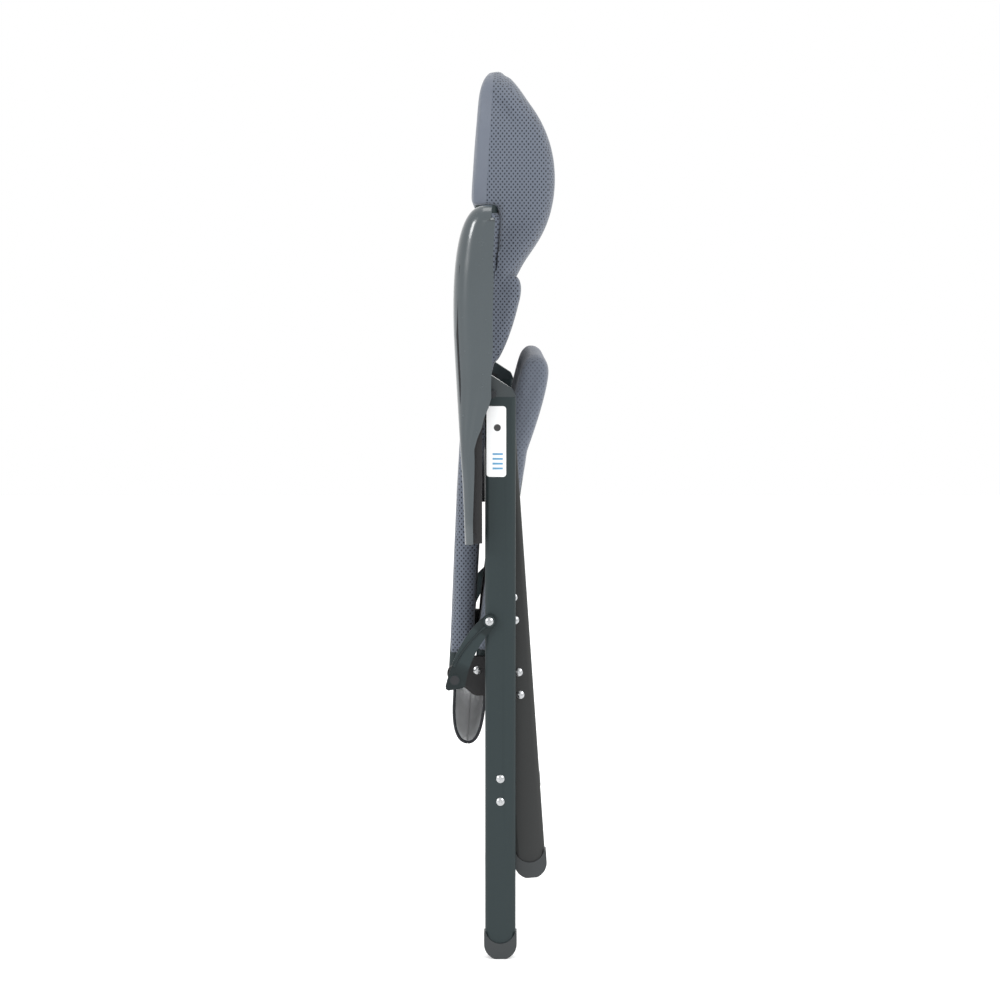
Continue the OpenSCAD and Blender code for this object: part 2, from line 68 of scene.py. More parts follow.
world = bpy.data.worlds.new("studio")
world.use_nodes = True
world.node_tree.nodes["Background"].inputs["Color"].default_value = (1, 1, 1, 1)
world.node_tree.nodes["Background"].inputs["Strength"].default_value = 1.0
bpy.context.scene.world = world
bpy.context.scene.view_settings.view_transform = "Standard"


def softbox(name, place, size, power):
    """A large square lamp that faces the middle of the chair."""
    lamp = bpy.data.objects.new(name, bpy.data.lights.new(name, "AREA"))
    bpy.context.collection.objects.link(lamp)
    lamp.data.size = size
    lamp.data.energy = power
    lamp.location = place
    lamp.rotation_euler = (Vector((0, 0, 0.6)) - Vector(place)).to_track_quat("-Z", "Y").to_euler()


softbox("key", (2.4, -2.6, 2.4), 1.2, 42)
softbox("fill", (-2.6, -2.2, 1.8), 0.9, 34)
softbox("back", (0.5, 3.2, 2.4), 2.0, 30)
softbox("top", (0, -0.4, 3.6), 1.5, 16)

bpy.ops.mesh.primitive_grid_add(x_subdivisions=4, y_subdivisions=4, size=14)
floor = bpy.context.object
floor.name = "floor"
paper = bpy.data.materials.new("studio_paper")
paper.use_nodes = True
paper.node_tree.nodes["Principled BSDF"].inputs["Base Color"].default_value = (0.9, 0.9, 0.9, 1)
paper.node_tree.nodes["Principled BSDF"].inputs["Roughness"].default_value = 1.0
paper.node_tree.nodes["Principled BSDF"].inputs["Emission Color"].default_value = (1, 1, 1, 1)
paper.node_tree.nodes["Principled BSDF"].inputs["Emission Strength"].default_value = 0.28
floor.data.materials.append(paper)


# ---------------------------------------------------------------------------
# Powder-coated aluminium: outer legs, crossbars and links in anthracite, and
# the inner legs in a darker, browner batch. The coat is satin with a fine
# orange-peel skin. Edges and corners carry a painted highlight: they are
# a little lighter, as if light caught them.
# ---------------------------------------------------------------------------
class Value:
    """A shader socket that arithmetic works on."""

    def __init__(self, maker, socket):
        self.maker = maker
        self.socket = socket

    def math(self, operation, *others):
        return self.maker.node("Math", {"operation": operation}, {i: v for i, v in enumerate((self, *others))})

    def __add__(self, other):
        return self.math("ADD", other)

    def __sub__(self, other):
        return self.math("SUBTRACT", other)

    def __rsub__(self, other):
        return self.maker.node("Math", {"operation": "SUBTRACT"}, {0: other, 1: self})

    def __mul__(self, other):
        return self.math("MULTIPLY", other)

    __radd__ = __add__
    __rmul__ = __mul__


class Finish:
    """A material, with one method that makes every node of it."""

    def __init__(self, name):
        self.material = bpy.data.materials.new(name)
        self.material.use_nodes = True
        self.tree = self.material.node_tree
        self.shader = self.tree.nodes["Principled BSDF"]

    def node(self, kind, settings, inputs, output=0):
        made = self.tree.nodes.new("ShaderNode" + kind)
        for key, value in settings.items():
            if key == "stops":
                for element, (position, colour) in zip(made.color_ramp.elements, value):
                    element.position = position
                    element.color = (*colour, 1)
            else:
                setattr(made, key, value)
        for key, value in inputs.items():
            self.set(made.inputs[key], value)
        return Value(self, made.outputs[output])

    def set(self, socket, value):
        if isinstance(value, Value):
            self.tree.links.new(value.socket, socket)
        else:
            socket.default_value = (*value, 1) if socket.type == "RGBA" and len(value) == 3 else value

    def put(self, **inputs):
        for key, value in inputs.items():
            self.set(self.shader.inputs[key.replace("_", " ")], value)

    def place(self):
        return self.node("TexCoord", {}, {}, "Object")

    def noise(self, where, scale, detail=2.0, rough=0.5):
        return self.node("TexNoise", {}, {"Vector": where, "Scale": scale, "Detail": detail, "Roughness": rough})

    def blend(self, amount, first, second):
        return self.node("Mix", {"data_type": "RGBA"}, {0: amount, 6: first, 7: second}, 2)

    def bump(self, height, strength, distance):
        return self.node("Bump", {}, {"Height": height, "Strength": strength, "Distance": distance})

    def steps(self, value, low, high):
        return self.node("MapRange", {"interpolation_type": "SMOOTHSTEP"}, {0: value, 1: low, 2: high})


def powder_coat(name, colour, lit, rough):
    coat = Finish(name)
    where = coat.place()
    cloudy = coat.noise(where, 9, 3)
    peel = coat.noise(where, 950, 2)
    dust = coat.steps(coat.noise(where, 260, 2), 0.62, 0.78)
    # Painted highlight: edges and corners, found by their pointiness, are made lighter as if light caught them.
    painted_edge_highlight = coat.steps(coat.node("NewGeometry", {}, {}, "Pointiness"), 0.53, 0.6)
    base = coat.blend(cloudy * 0.6, colour, lit)
    # The lighter colour goes on the painted edge highlight and on the small dust spots.
    coat.put(Base_Color=coat.blend(painted_edge_highlight * 0.35 + dust * 0.08, base, [c * 2.6 for c in lit]))
    coat.put(Roughness=rough + 0.10 * cloudy + 0.05 * peel)
    coat.put(Normal=coat.bump(peel, 0.12, 0.0004))
    coat.put(Metallic=0.0, Specular_IOR_Level=0.20)
    return coat.material


FRAME_COAT = powder_coat("anthracite_powder_coat", (0.010, 0.0155, 0.0165), (0.016, 0.023, 0.0245), 0.38)
INNER_COAT = powder_coat("dark_powder_coat", (0.015, 0.016, 0.016), (0.023, 0.024, 0.024), 0.42)


def finish_nodes(material, *names):
    """Gives CAD nodes their finish."""
    for name in names:
        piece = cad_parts[name]
        piece.data.materials.clear()
        piece.data.materials.append(material)


SIDES = {"left": 1, "right": -1}
finish_nodes(FRAME_COAT, "outer_crossbar", "seat_front_bar", "seat_rear_bar", "backrest_top_bow", "backrest_lower_bar")
finish_nodes(INNER_COAT, "inner_crossbar_upper", "inner_crossbar_lower")
for side in SIDES:
    finish_nodes(FRAME_COAT, f"outer_leg_{side}", f"half_moon_link_{side}", f"backrest_tube_{side}",
                 f"seat_rail_{side}", f"seat_front_rail_{side}")
    finish_nodes(INNER_COAT, f"inner_leg_{side}")


# ---------------------------------------------------------------------------
# Moulded plastics: half-round feet in a soft satin grey, glossy caps on the
# outer legs, and near-black plugs, washers, hinge brackets and racks.
# ---------------------------------------------------------------------------
def moulded(name, colour, rough, grain, coat_weight=0.0):
    plastic = Finish(name)
    where = plastic.place()
    cloudy = plastic.noise(where, 14, 3)
    fine = plastic.noise(where, 1400, 2)
    scuff = plastic.steps(plastic.noise(where, 60, 5, 0.7), 0.60, 0.72)
    plastic.put(Base_Color=plastic.blend(cloudy * 0.5 + scuff * 0.08, colour, [c * 1.4 for c in colour]))
    plastic.put(Roughness=rough + 0.08 * cloudy + 0.12 * scuff)
    plastic.put(Normal=plastic.bump(fine, grain, 0.0004))
    plastic.put(Coat_Weight=coat_weight, Coat_Roughness=0.12)
    return plastic.material


FOOT_PLASTIC = moulded("foot_plastic", (0.020, 0.024, 0.026), 0.42, 0.20)
CAP_PLASTIC = moulded("cap_plastic", (0.018, 0.026, 0.029), 0.33, 0.08, 0.3)
BLACK_PLASTIC = moulded("black_plastic", (0.004, 0.004, 0.005), 0.5, 0.25)
finish_nodes(BLACK_PLASTIC, "outer_crossbar_plugs", "inner_crossbar_plugs", "leg_pivot_washers", "seat_rail_joiners")
for side in SIDES:
    finish_nodes(FOOT_PLASTIC, f"outer_foot_{side}", f"inner_foot_{side}")
    finish_nodes(CAP_PLASTIC, f"outer_leg_cap_{side}")
    finish_nodes(BLACK_PLASTIC, f"inner_leg_plug_{side}", f"hinge_bracket_{side}", f"armrest_rack_{side}")


# ---------------------------------------------------------------------------
# Bright zinc-plated screws, bolts and pins. The plate is smooth with faint
# turning rings and small dull patches.
# ---------------------------------------------------------------------------
def zinc_plate():
    zinc = Finish("zinc_plate")
    where = zinc.place()
    patch = zinc.noise(where, 120, 4)
    rings = zinc.noise(where, 900, 1)
    zinc.put(Base_Color=zinc.blend(patch, (0.34, 0.35, 0.36), (0.56, 0.57, 0.58)))
    zinc.put(Metallic=1.0, Roughness=0.22 + 0.16 * patch)
    zinc.put(Normal=zinc.bump(rings, 0.10, 0.0003))
    return zinc.material


ZINC = zinc_plate()
finish_nodes(ZINC, "outer_crossbar_screws", "inner_crossbar_screws", "link_screws", "bracket_screws",
             "seat_pivot_studs", "rack_screws")
BLACKENED_STEEL = powder_coat("blackened_steel", (0.010, 0.011, 0.012), (0.020, 0.021, 0.023), 0.40)
for side in SIDES:
    finish_nodes(ZINC, f"leg_pivot_bolt_{side}")
    finish_nodes(BLACKENED_STEEL, f"rack_pin_{side}", f"hinge_pin_{side}", f"armrest_bolt_{side}")


# ---------------------------------------------------------------------------
# Half-moon links: the raised bead pressed along the plate to stiffen it. It
# starts below the screw boss and follows the rear edge.
# ---------------------------------------------------------------------------
def piece_from(name, points, faces, material, smooth=True):
    """A new mesh piece."""
    mesh = bpy.data.meshes.new(name)
    mesh.from_pydata(points, [], faces)
    mesh.materials.append(material)
    made = bpy.data.objects.new(name, mesh)
    bpy.context.collection.objects.link(made)
    tidy = bmesh.new()
    tidy.from_mesh(mesh)
    bmesh.ops.recalc_face_normals(tidy, faces=tidy.faces)
    tidy.to_mesh(mesh)
    tidy.free()
    for face in mesh.polygons:
        face.use_smooth = smooth
    return made


def bend_curve(a, b, c, count):
    """Points from a to c on the curve that b pulls on."""
    return [tuple((1 - t) ** 2 * p + 2 * t * (1 - t) * q + t * t * r for p, q, r in zip(a, b, c))
            for t in (i / count for i in range(count + 1))]


def round_rod(name, path, radius, material, sides=10, closed=False):
    """A round rod or cord of cloth along a path, with closed ends."""
    points, faces = [], []
    count = len(path)
    for i, here in enumerate(path):
        before = Vector(path[(i - 1) % count if closed else max(i - 1, 0)])
        after = Vector(path[(i + 1) % count if closed else min(i + 1, count - 1)])
        along = (after - before).normalized()
        across = along.cross(Vector((0, 1, 0)))
        if across.length < 0.1:
            across = along.cross(Vector((1, 0, 0)))
        across.normalize()
        up = along.cross(across)
        for k in range(sides):
            turn = math.tau * k / sides
            points.append(tuple(Vector(here) + radius * (math.cos(turn) * across + math.sin(turn) * up)))
    for i in range(count if closed else count - 1):
        nxt = (i + 1) % count
        for k in range(sides):
            k2 = (k + 1) % sides
            faces.append((i * sides + k, i * sides + k2, nxt * sides + k2, nxt * sides + k))
    if not closed:
        faces.append(tuple(range(sides)))
        faces.append(tuple(range((count - 1) * sides, count * sides)))
    return piece_from(name, points, faces, material)


LINK_FACE = 0.3135
for side, sign in SIDES.items():
    bead_line = [(x, sign * LINK_FACE, z) for x, z in bend_curve((-0.0195, 0.4395), (-0.048, 0.413), (-0.0605, 0.3865), 16)]
    bead = round_rod(f"link_bead_{side}", bead_line, 0.0016, FRAME_COAT)
    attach(bead, "links")


# ---------------------------------------------------------------------------
# Leg label: a plain white sticker with rounded corners on each outer leg,
# printed with a few plain bars and a disc, and no words or marks.
# ---------------------------------------------------------------------------
def label_print():
    paper = Finish("label_print")
    spot = paper.node("SeparateXYZ", {}, {"Vector": paper.place()}, "X")
    height = paper.node("SeparateXYZ", {}, {"Vector": paper.place()}, "Z")
    fibre = paper.noise(paper.place(), 500, 3)
    low, high = 0.640, 0.668
    bars = paper.node("Math", {"operation": "FRACT"}, {0: (height - low) * 160.0})
    inside = paper.steps(height, low, low + 0.0004) * (1 - paper.steps(height, high, high + 0.0004))
    narrow = paper.steps(spot, -0.0105, -0.0100) * (1 - paper.steps(spot, 0.0030, 0.0035))
    bar = inside * narrow * paper.steps(bars, 0.55, 0.62)
    across = (spot + 0.004) * (spot + 0.004) + (height - 0.698) * (height - 0.698)
    disc = 1 - paper.steps(across, 0.0000200, 0.0000225)
    white = paper.blend(fibre * 0.3, (0.86, 0.87, 0.87), (0.78, 0.79, 0.80))
    barred = paper.blend(bar, white, (0.10, 0.30, 0.50))
    paper.put(Base_Color=paper.blend(disc, barred, (0.03, 0.03, 0.03)))
    paper.put(Roughness=0.30 + 0.1 * fibre)
    paper.put(Normal=paper.bump(fibre, 0.05, 0.0002))
    return paper.material


def rounded_plate(name, low, high, radius, y, thick, material):
    """A thin plate in X and Z with rounded corners, standing out from y."""
    ring = []
    for cx, cz, start in ((high[0] - radius, high[1] - radius, 0), (low[0] + radius, high[1] - radius, 90),
                          (low[0] + radius, low[1] + radius, 180), (high[0] - radius, low[1] + radius, 270)):
        for step in range(9):
            turn = math.radians(start + 90 * step / 8)
            ring.append((cx + radius * math.cos(turn), cz + radius * math.sin(turn)))
    count = len(ring)
    points = [(x, y, z) for x, z in ring] + [(x, y + thick, z) for x, z in ring]
    faces = [tuple(range(count)), tuple(range(count, 2 * count))]
    faces += [(i, (i + 1) % count, count + (i + 1) % count, count + i) for i in range(count)]
    return piece_from(name, points, faces, material, smooth=False)


LABEL = label_print()
for side, sign in SIDES.items():
    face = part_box(f"outer_leg_{side}")[1 if sign > 0 else 0][1]
    label = rounded_plate(f"leg_label_{side}", (-0.0180, 0.634), (0.0075, 0.726), 0.004, face + sign * 0.00005,
                          sign * 0.0002, LABEL)
    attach(label, "outer_legs")


# ---------------------------------------------------------------------------
# Armrests: glossy injection-moulded shells. The top is a smooth half round
# that thins to a narrow arm at the hinge end and curves down at the front
# tip. The skirts on both sides are flat and hide the rack and the leg's end.
# ---------------------------------------------------------------------------
ARM_HINGE = (-0.037, 0.557)
ARM_LEAN = math.radians(2.9)
ARM_OUT = 0.334
ARM_IN = 0.276
ARM_WALL = 0.0028


def arm_top_line():
    """The middle line of the top, hinge end first: (depth below the hinge line, distance along the arm)."""
    line = [(-0.0092, -0.009), (-0.0088, 0.02), (-0.0083, 0.05), (-0.0082, 0.071)]
    line += bend_curve((-0.0082, 0.071), (-0.0105, 0.190), (-0.0102, 0.262), 16)[1:]
    line += bend_curve((-0.0102, 0.262), (-0.0080, 0.395), (0.0220, 0.4215), 26)[1:]
    line += bend_curve((0.0220, 0.4215), (0.0330, 0.430), (0.0480, 0.4275), 8)[1:]
    return line


def between(x, table):
    """Straight-line reading of a small table of (x, y)."""
    for (x0, y0), (x1, y1) in zip(table, table[1:]):
        if x <= x1:
            t = min(max((x - x0) / (x1 - x0), 0), 1)
            t = t * t * (3 - 2 * t)
            return y0 + (y1 - y0) * t
    return table[-1][1]


SKIRT = [(-0.01, 0.0014), (0.118, 0.0092), (0.140, 0.0200), (0.182, 0.0346), (0.262, 0.0405), (0.345, 0.0455),
         (0.425, 0.0515)]
INNER_SKIRT = [(-0.01, 0.0014), (0.130, 0.0100), (0.200, 0.0150), (0.300, 0.0240), (0.425, 0.0480)]
INSIDE_Y = [(0.060, ARM_IN + 0.027), (0.150, ARM_IN + 0.001), (0.43, ARM_IN)]
EDGE_ROUND = [(0.090, 0.0085), (0.210, 0.0265), (0.36, 0.0275), (0.43, 0.020)]


def armrest(side, sign):
    line = arm_top_line()
    rows = []
    for i, (t, s) in enumerate(line):
        t0, s0 = line[max(i - 1, 0)]
        t1, s1 = line[min(i + 1, len(line) - 1)]
        length = math.hypot(t1 - t0, s1 - s0)
        inward = ((s1 - s0) / length, -(t1 - t0) / length)
        y_in = between(s, INSIDE_Y)
        half = (ARM_OUT - y_in) / 2
        middle = (ARM_OUT + y_in) / 2
        radius = min(between(s, EDGE_ROUND), half - 0.0005)
        row = []
        for sense, skirt in ((-1, INNER_SKIRT), (1, SKIRT)):
            part = []
            flat = half - radius
            for k in range(0, 9):
                turn = math.radians(90 * k / 8)
                drop = radius * (1 - math.cos(turn)) if k < 8 else radius
                y = middle + sense * (flat + radius * math.sin(turn))
                part.append((t + inward[0] * drop, y, s + inward[1] * drop))
            edge_t, edge_y, edge_s = part[-1]
            foot_t = max(between(min(edge_s, 0.4275), skirt), edge_t + 0.0002)
            for k in range(1, 7):
                u = k / 6
                step_in = sense * min(0.0014, radius * 0.06)
                part.append((edge_t + (foot_t - edge_t) * u, edge_y - step_in, edge_s))
            row.append(part)
        rows.append(list(reversed(row[0])) + row[1])
    width = len(rows[0])
    points = []
    for row in rows:
        for t, y, s in row:
            x = ARM_HINGE[0] + t * math.cos(ARM_LEAN) - s * math.sin(ARM_LEAN)
            z = ARM_HINGE[1] + t * math.sin(ARM_LEAN) + s * math.cos(ARM_LEAN)
            points.append((x, sign * y, z))
    faces = [(i * width + k, i * width + k + 1, (i + 1) * width + k + 1, (i + 1) * width + k)
             for i in range(len(rows) - 1) for k in range(width - 1)]
    last = (len(rows) - 1) * width
    faces.append(tuple(range(last, last + width)))
    made = piece_from(f"armrest_shell_{side}", points, faces, ARM_GLOSS)
    weld = bmesh.new()
    weld.from_mesh(made.data)
    bmesh.ops.remove_doubles(weld, verts=weld.verts, dist=0.00005)
    bmesh.ops.recalc_face_normals(weld, faces=weld.faces)
    centre = Vector((ARM_HINGE[0] + 0.01, sign * (ARM_OUT + ARM_IN) / 2, 0.8))
    top = min(weld.faces, key=lambda f: f.calc_center_median().x)
    if top.normal.dot(top.calc_center_median() - centre) < 0:
        bmesh.ops.reverse_faces(weld, faces=weld.faces)
    weld.to_mesh(made.data)
    weld.free()
    thick = made.modifiers.new("wall", "SOLIDIFY")
    thick.thickness = ARM_WALL
    thick.offset = -1
    soft = made.modifiers.new("edge", "BEVEL")
    soft.width = 0.0006
    soft.segments = 2
    soft.limit_method = "ANGLE"
    soft.angle_limit = math.radians(60)
    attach(made, "armrests")
    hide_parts(f"armrest_{side}")
    return made


ARM_GLOSS = moulded("armrest_gloss", (0.033, 0.045, 0.051), 0.20, 0.03, 0.8)
for side, sign in SIDES.items():
    armrest(side, sign)


# ---------------------------------------------------------------------------
# Upholstery cloths. The padded face is a thick spacer mesh with staggered
# rows of small diamond holes. The backs and the borders are a smooth, dense
# weave. Both are told where they are by two values kept on each cushion:
# "weave", the cloth's own two directions in metres, and "seam", how far a
# point lies on the smooth side of the sewn line.
# ---------------------------------------------------------------------------
HOLE_ACROSS = 0.00285
HOLE_ALONG = 0.0035


def upholstery():
    cloth = Finish("upholstery_cloth")
    weave = cloth.node("Attribute", {"attribute_name": "weave"}, {}, "Vector")
    u = cloth.node("SeparateXYZ", {}, {"Vector": weave}, "X")
    v = cloth.node("SeparateXYZ", {}, {"Vector": weave}, "Y")
    smooth_side = cloth.steps(cloth.node("Attribute", {"attribute_name": "seam"}, {}, "Fac"), -0.0004, 0.0004)
    wander = cloth.noise(weave, 90, 1) * 0.10

    def ripple(value, turns):
        return cloth.node("Math", {"operation": "COSINE"}, {0: value * turns + wander})

    # The product of two waves peaks at spots that are staggered from row to row, and those are the holes
    pattern = cloth.node("Math", {"operation": "MULTIPLY"}, {0: ripple(u, math.pi / HOLE_ACROSS),
                                                            1: ripple(v, math.pi / HOLE_ALONG)})
    hole = cloth.steps(pattern, 0.30, 0.66)
    thread = cloth.noise(weave, 1500, 2)
    cloudy = cloth.noise(weave, 7, 3)
    twill = cloth.node("Math", {"operation": "SINE"}, {0: (u + v) * 5200.0})
    mesh_colour = cloth.blend(hole, cloth.blend(thread, (0.090, 0.106, 0.138), (0.140, 0.160, 0.198)),
                              (0.014, 0.016, 0.024))
    plain_colour = cloth.blend(cloudy * 0.5 + thread * 0.5, (0.108, 0.124, 0.156), (0.152, 0.170, 0.207))
    cloth.put(Base_Color=cloth.blend(smooth_side, mesh_colour, plain_colour))
    cloth.put(Roughness=0.82 - 0.10 * thread)
    height = (1 - hole) * (1 - smooth_side) * 1.0 + smooth_side * (twill * 0.10 + thread * 0.12) + thread * 0.10
    cloth.put(Normal=cloth.bump(height, 0.55, 0.0011))
    cloth.put(Sheen_Weight=0.25, Sheen_Roughness=0.5, Specular_IOR_Level=0.25)
    return cloth.material


CLOTH = upholstery()
PAD_HALF = 0.250


def spread(outline, count):
    """The closed outline again, with count points at even distances."""
    ring = [Vector(p) for p in outline]
    lengths = [(ring[(i + 1) % len(ring)] - ring[i]).length for i in range(len(ring))]
    total = sum(lengths)
    found, i, walked = [], 0, 0.0
    for k in range(count):
        target = total * k / count
        while walked + lengths[i] < target:
            walked += lengths[i]
            i += 1
        found.append(ring[i].lerp(ring[(i + 1) % len(ring)], (target - walked) / lengths[i]))
    return found


def pad_blank(name, outline, shrink, edge, corners, fullness=lambda x, z: 1.0):
    """A closed pad: a side outline drawn across the chair, its side edges rounded, and its plan corners rounded
    where corners(x, y, z) pulls them in. fullness(x, z) is how much of the side edges' rounding a point takes."""
    ring = spread(outline, 150)
    count = len(ring)
    area = sum(a.x * b.y - b.x * a.y for a, b in zip(ring, ring[1:] + ring[:1]))
    inward = []
    for i in range(count):
        along = (ring[(i + 1) % count] - ring[i - 1]).normalized()
        inward.append(Vector((-along.y, along.x)) * (1 if area > 0 else -1))
    steps = [-1 + 0.02 * k for k in range(6)] + [-0.88 + 0.08 * k for k in range(23)] + [0.9 + 0.02 * k for k in range(6)]
    points = []
    for share in steps:
        y = share * PAD_HALF
        near = max(0.0, (abs(y) - (PAD_HALF - edge)) / edge)
        inset = shrink + edge * (1 - math.sqrt(max(0.0, 1 - near * near))) * 0.85
        for p, n in zip(ring, inward):
            q = p + n * (shrink + (inset - shrink) * fullness(p.x, p.y))
            points.append(corners(q.x, y, q.y))
    faces = [(i * count + k, i * count + (k + 1) % count, (i + 1) * count + (k + 1) % count, (i + 1) * count + k)
             for i in range(len(steps) - 1) for k in range(count)]
    faces += [tuple(range(count)), tuple(range((len(steps) - 1) * count, len(steps) * count))]
    return piece_from(name, points, faces, CLOTH)


def plump(pad, voxel, cap, sewn, pressure=4.0):
    """Fills the pad with cloth under pressure. sewn(point) is how firmly a point is held, from 0 to 1."""
    bpy.context.view_layer.objects.active = pad
    for other in bpy.context.selected_objects:
        other.select_set(False)
    pad.select_set(True)
    remesh = pad.modifiers.new("even", "REMESH")
    remesh.mode = "VOXEL"
    remesh.voxel_size = voxel
    bpy.ops.object.modifier_apply(modifier=remesh.name)
    start = [v.co.copy() for v in pad.data.vertices]
    held = pad.vertex_groups.new(name="sewn")
    for vertex in pad.data.vertices:
        held.add([vertex.index], sewn(vertex.co), "REPLACE")
    cloth = pad.modifiers.new("cloth", "CLOTH")
    cloth.settings.use_pressure = True
    cloth.settings.uniform_pressure_force = pressure
    cloth.settings.effector_weights.gravity = 0
    cloth.settings.vertex_group_mass = "sewn"
    cloth.settings.pin_stiffness = 4
    cloth.point_cache.frame_start = 1
    cloth.point_cache.frame_end = 20
    for number in range(1, 21):
        bpy.context.scene.frame_set(number)
    settled = pad.evaluated_get(bpy.context.evaluated_depsgraph_get()).to_mesh()
    moved = [v.co.copy() for v in settled.vertices]
    pad.modifiers.remove(cloth)
    bpy.context.scene.frame_set(1)
    for vertex, was, now in zip(pad.data.vertices, start, moved):
        step = now - was
        if step.length > cap:
            step *= cap / step.length
        vertex.co = was + step
    relax = pad.modifiers.new("relax", "SMOOTH")
    relax.factor = 0.5
    relax.iterations = 4
    bpy.ops.object.modifier_apply(modifier=relax.name)


def mark_cloth(pad, seam):
    """Keeps the weave's directions and the seam's distance on the pad."""
    mesh = pad.data
    for polygon in mesh.polygons:
        polygon.use_smooth = True
    weave = mesh.attributes.new("weave", "FLOAT_VECTOR", "CORNER")
    line = mesh.attributes.new("seam", "FLOAT", "POINT")
    for polygon in mesh.polygons:
        n = polygon.normal
        for corner in polygon.loop_indices:
            co = mesh.vertices[mesh.loops[corner].vertex_index].co
            along = co.z if abs(n.x) > abs(n.z) * 0.7 or abs(n.y) > 0.6 else co.x
            across = co.x if abs(n.y) > 0.6 else co.y
            weave.data[corner].vector = (across, along, 0)
    for vertex in mesh.vertices:
        line.data[vertex.index].value = seam(vertex.co)


def finish_pad(pad, node, body):
    """One more subdivision, then the pad rides on its body in place of its CAD solid."""
    smoother = pad.modifiers.new("smoother", "SUBSURF")
    smoother.levels = 1
    smoother.render_levels = 1
    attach(pad, body)
    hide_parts(node)


def tuck(pad, depth, width, lines):
    """Sinks the sewn lines into the pad: each line gives a point's distance from it."""
    normals = [v.normal.copy() for v in pad.data.vertices]
    for vertex, normal in zip(pad.data.vertices, normals):
        sink = max(math.exp(-(line(vertex.co) / width) ** 2) for line in lines)
        vertex.co -= normal * depth * sink


# ---------------------------------------------------------------------------
# Seat cushion: spacer mesh over thin foam, drawn tight round the side rails
# and rolled over the front bar. The side panels are sewn on in from the
# edges, and the front roll is smooth cloth behind the mesh side panels.
# ---------------------------------------------------------------------------
SIDE_SEAM = 0.205


def seat_outline():
    rear = [(-0.0335, 0.3945), (-0.0085, 0.584), (0.0045, 0.672)]
    rear += bend_curve((0.0045, 0.672), (0.0140, 0.728), (0.0270, 0.774), 10)[1:]
    rear += bend_curve((0.0270, 0.774), (0.0325, 0.7925), (0.0465, 0.7925), 8)[1:]
    front = bend_curve((0.0465, 0.7925), (0.0655, 0.789), (0.0655, 0.768), 8)[1:]
    front += bend_curve((0.0655, 0.768), (0.0610, 0.730), (0.0365, 0.664), 12)[1:]
    front += [(0.0232, 0.580), (-0.0015, 0.3945)]
    return rear + front


def square_corners(x, y, z):
    return (x, y, z)


def seat_corners(x, y, z):
    """Rounds the two front corners of the seat."""
    radius, top = 0.022, 0.791
    over = max(0.0, (z - (top - radius)) / radius)
    limit = PAD_HALF - radius * (1 - math.sqrt(max(0.0, 1 - min(over, 1) ** 2)))
    return (x, y * limit / PAD_HALF, z)


seat = pad_blank("seat_cushion", seat_outline(), 0.0010, 0.012, seat_corners)
plump(seat, 0.005, 0.0055, lambda p: 1.0 if abs(abs(p.y) - SIDE_SEAM) < 0.006 else 0.12)
tuck(seat, 0.0022, 0.004, [lambda p: abs(p.y) - SIDE_SEAM])
mark_cloth(seat, lambda p: 0.0 if abs(p.y) > SIDE_SEAM else p.x - (0.020 + (p.z - 0.66) * 0.05))
finish_pad(seat, "seat_pad", "seat")

# ---------------------------------------------------------------------------
# Back cushion: the same cloth round the backrest's side tubes, with a thicker
# roll behind the shoulders, which shows below the headrest.
# ---------------------------------------------------------------------------
SIDE_PLANE = 0.16


def back_outline():
    rear = [(-0.0205, 0.981), (-0.0360, 0.981), (-0.0475, 0.800), (-0.0590, 0.600), (-0.0680, 0.3925)]
    front = [(-0.0362, 0.3925), (-0.0225, 0.640), (-0.0105, 0.770)]
    front += bend_curve((-0.0105, 0.770), (0.0115, 0.800), (0.0245, 0.856), 10)[1:]
    front += bend_curve((0.0245, 0.856), (0.0360, 0.889), (0.0185, 0.899), 8)[1:]
    front += [(-0.0005, 0.901), (0.0025, 0.981)]
    return rear + front


def back_line(z):
    """The middle of the backrest's side tube at height z."""
    return -0.0538 + (z - 0.369) * math.tan(math.radians(3.3))


back = pad_blank("back_cushion", back_outline(), 0.0010, 0.012, square_corners)
ROLL_SEAM = 0.778
plump(back, 0.005, 0.0055,
      lambda p: 1.0 if abs(abs(p.y) - SIDE_SEAM) < 0.006 or (abs(p.z - ROLL_SEAM) < 0.006 and p.x > back_line(p.z)) else 0.12)
tuck(back, 0.0022, 0.004, [lambda p: abs(p.y) - SIDE_SEAM,
                           lambda p: p.z - ROLL_SEAM if p.x > back_line(p.z) else 1.0])
mark_cloth(back, lambda p: back_line(p.z) - 0.004 - p.x if abs(p.y) < SIDE_SEAM else -0.01)
finish_pad(back, "backrest_pad", "backrest")


# ---------------------------------------------------------------------------
# Headrest: a hood that slips over the top of the backrest. Its front is a
# full pillow of spacer mesh, and its back is a band of smooth cloth with a
# hem at the bottom. A corded seam runs round the side between two panels.
# ---------------------------------------------------------------------------
def head_outline():
    low = [(-0.0060, 0.985), (-0.0085, 0.908), (-0.0090, 0.840)]
    low += bend_curve((-0.0090, 0.840), (-0.0040, 0.828), (0.0030, 0.842), 6)[1:]
    low += bend_curve((0.0030, 0.842), (0.0180, 0.898), (0.0440, 0.930), 12)[1:]
    low += bend_curve((0.0440, 0.930), (0.0745, 0.970), (0.0735, 1.028), 12)[1:]
    low += bend_curve((0.0735, 1.028), (0.0720, 1.085), (0.0350, 1.130), 10)[1:]
    low += bend_curve((0.0350, 1.130), (0.0120, 1.1705), (-0.0060, 1.1715), 8)[1:]
    low += bend_curve((-0.0060, 1.1715), (-0.0260, 1.168), (-0.0295, 1.130), 8)[1:]
    return low + [(-0.0400, 0.985)]


def head_corners(x, y, z):
    """Rounds the headrest's top corners in the sitter's view."""
    radius, top = 0.075, 1.170
    over = max(0.0, (z - (top - radius)) / radius)
    limit = PAD_HALF - radius * (1 - math.sqrt(max(0.0, 1 - min(over, 1) ** 2)))
    return (x, y * limit / PAD_HALF, z)


def head_seam(z):
    """Where the smooth rear band meets the mesh on the headrest's side."""
    return back_line(z) - 0.001


